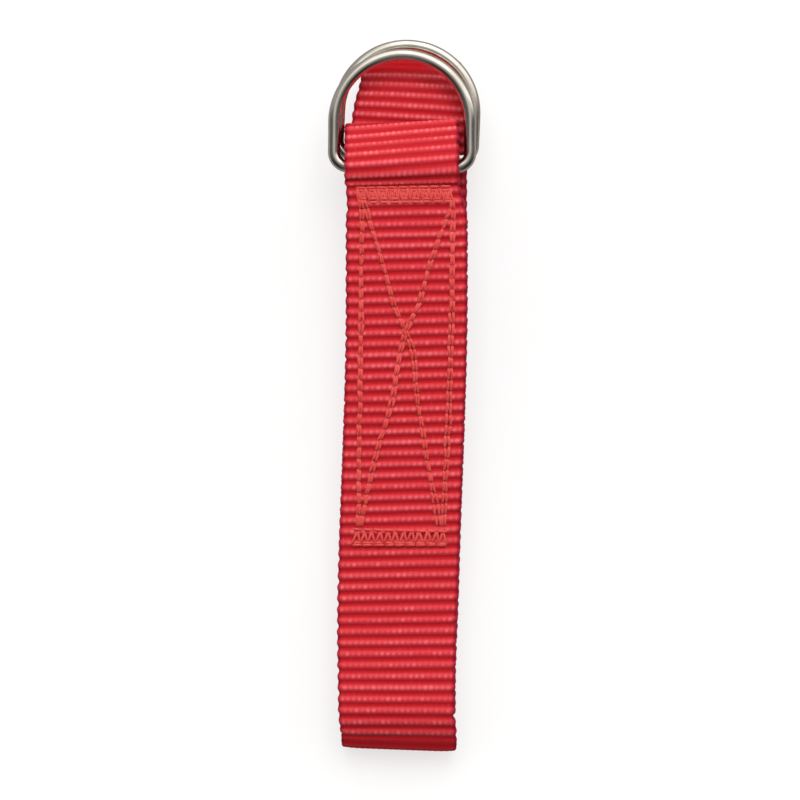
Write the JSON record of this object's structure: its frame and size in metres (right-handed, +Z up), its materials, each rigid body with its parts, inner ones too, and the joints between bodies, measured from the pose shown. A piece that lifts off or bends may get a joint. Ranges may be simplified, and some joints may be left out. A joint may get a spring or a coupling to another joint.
{
  "type": "webbing strap with double d-rings",
  "caption": "Ribbed webbing strap, its tail folded into a flat roll, with paired D-rings held in a loop sewn with a long box and cross.",
  "frame": {"origin": "centre of the bounding box, on the surface that the rolled strap lies on", "axes": "+X across the webbing, +Y along the strap towards the rings, +Z up out of the sewn front face"},
  "size_m": [0.0314, 0.1475, 0.0224],
  "materials": {
    "webbing": "ribbed weave",
    "thread": "bonded thread",
    "ring_steel": "bright plated"
  },
  "bodies": {
    "rolled_tail": {"strap_rolled_tail": "webbing", "strap_lower_fold": "webbing"},
    "sewn_strap": {"strap_front": "webbing", "strap_ring_loop": "webbing", "strap_sewn_end": "webbing", "box_cross_seam_front": "thread", "box_cross_seam_back": "thread", "upper_tack_front": "thread", "upper_tack_back": "thread", "lower_tack_front": "thread", "lower_tack_back": "thread"},
    "front_ring": {"d_ring_front": "ring_steel"},
    "rear_ring": {"d_ring_rear": "ring_steel"}
  },
  "joints": [
    {"name": "strap_unfold", "type": "hinge", "parent": "rolled_tail", "child": "sewn_strap", "pos_m": [0, -0.0734, 0.006], "axis": [1, 0, 0], "range_deg": [0, 120], "deforming": ["strap_lower_fold"]},
    {"name": "front_ring_swing", "type": "hinge", "parent": "sewn_strap", "child": "front_ring", "pos_m": [-0.00052, 0.04695, 0.0184], "axis": [1, -0.007, 0], "range_deg": [0, 160]},
    {"name": "rear_ring_swing", "type": "hinge", "parent": "sewn_strap", "child": "rear_ring", "pos_m": [0.00006, 0.04928, 0.0153], "axis": [0.999, -0.0454, 0], "range_deg": [0, 80]}
  ],
  "couplings": [
    {"joint": "rear_ring_swing", "follows": "front_ring_swing", "ratio": 0.5}
  ]
}
